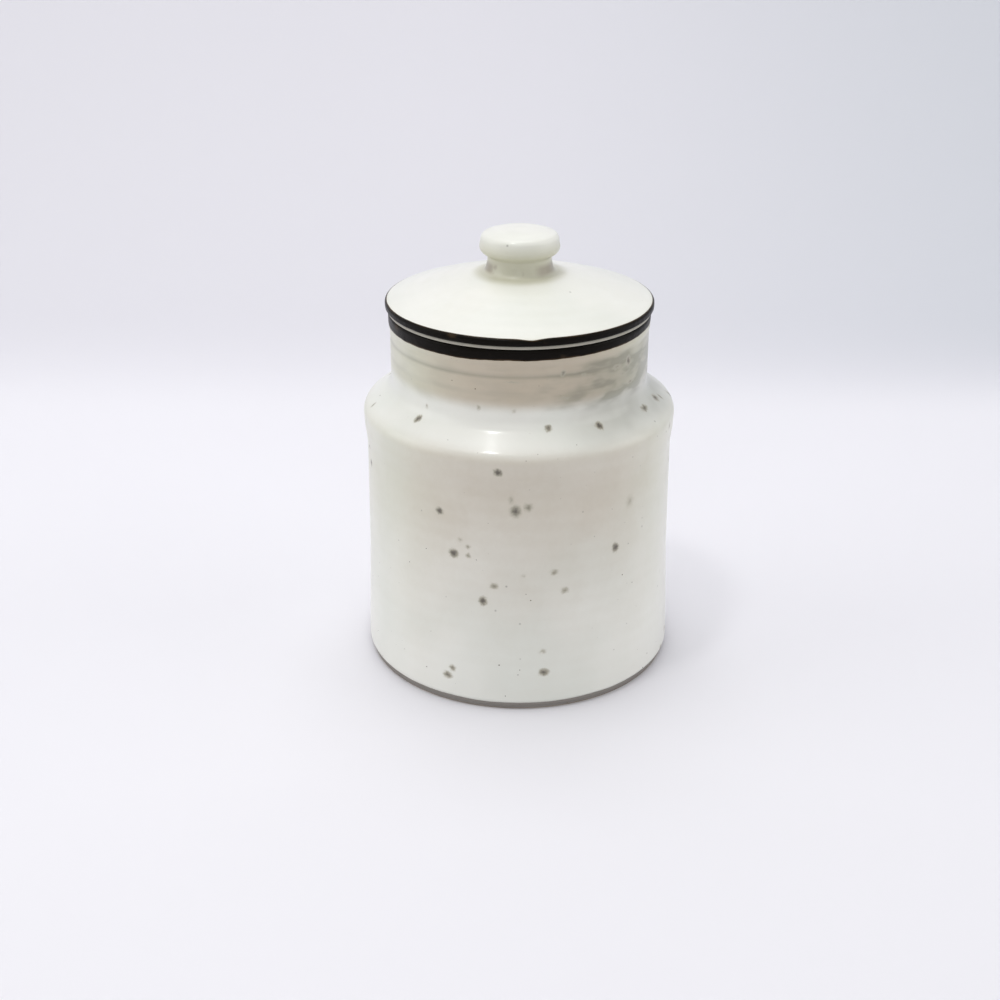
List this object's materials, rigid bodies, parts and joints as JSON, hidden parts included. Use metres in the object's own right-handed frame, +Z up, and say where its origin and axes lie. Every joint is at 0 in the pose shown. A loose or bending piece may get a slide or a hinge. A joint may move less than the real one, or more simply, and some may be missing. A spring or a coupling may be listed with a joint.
{
  "type": "butter crock",
  "caption": "Lidded cream stoneware butter crock with a short neck, dark brushed rim bands, iron speckles and a mushroom knob on its shallow lid.",
  "frame": {"origin": "centre of the foot ring's resting face, on the jar's turning axis", "axes": "+Z up along the turning axis, out of the mouth; the object is round, so X and Y are free"},
  "size_m": [0.1234, 0.1234, 0.173],
  "materials": {
    "cream_glaze": "glossy off-white tin glaze with iron speckles",
    "rim_glaze": "glossy near-black iron glaze, brushed on by hand",
    "bare_clay": "matt unglazed stoneware",
    "iron_speck": "iron grains melted into the glaze",
    "seal_silicone": "pale satin silicone"
  },
  "bodies": {
    "crock": {"crock_body": "cream_glaze"},
    "seal": {"seal_ring": "seal_silicone"},
    "lid": {"lid": "cream_glaze", "knob": "cream_glaze"}
  },
  "joints": [
    {"name": "lid_lift", "type": "slide", "parent": "crock", "child": "seal", "axis": [0, 0, 1], "range_m": [0, 0.1]},
    {"name": "lid_turn", "type": "hinge", "parent": "seal", "child": "lid", "pos_m": [0, 0, 0.1436], "axis": [0, 0, 1], "continuous": true}
  ]
}
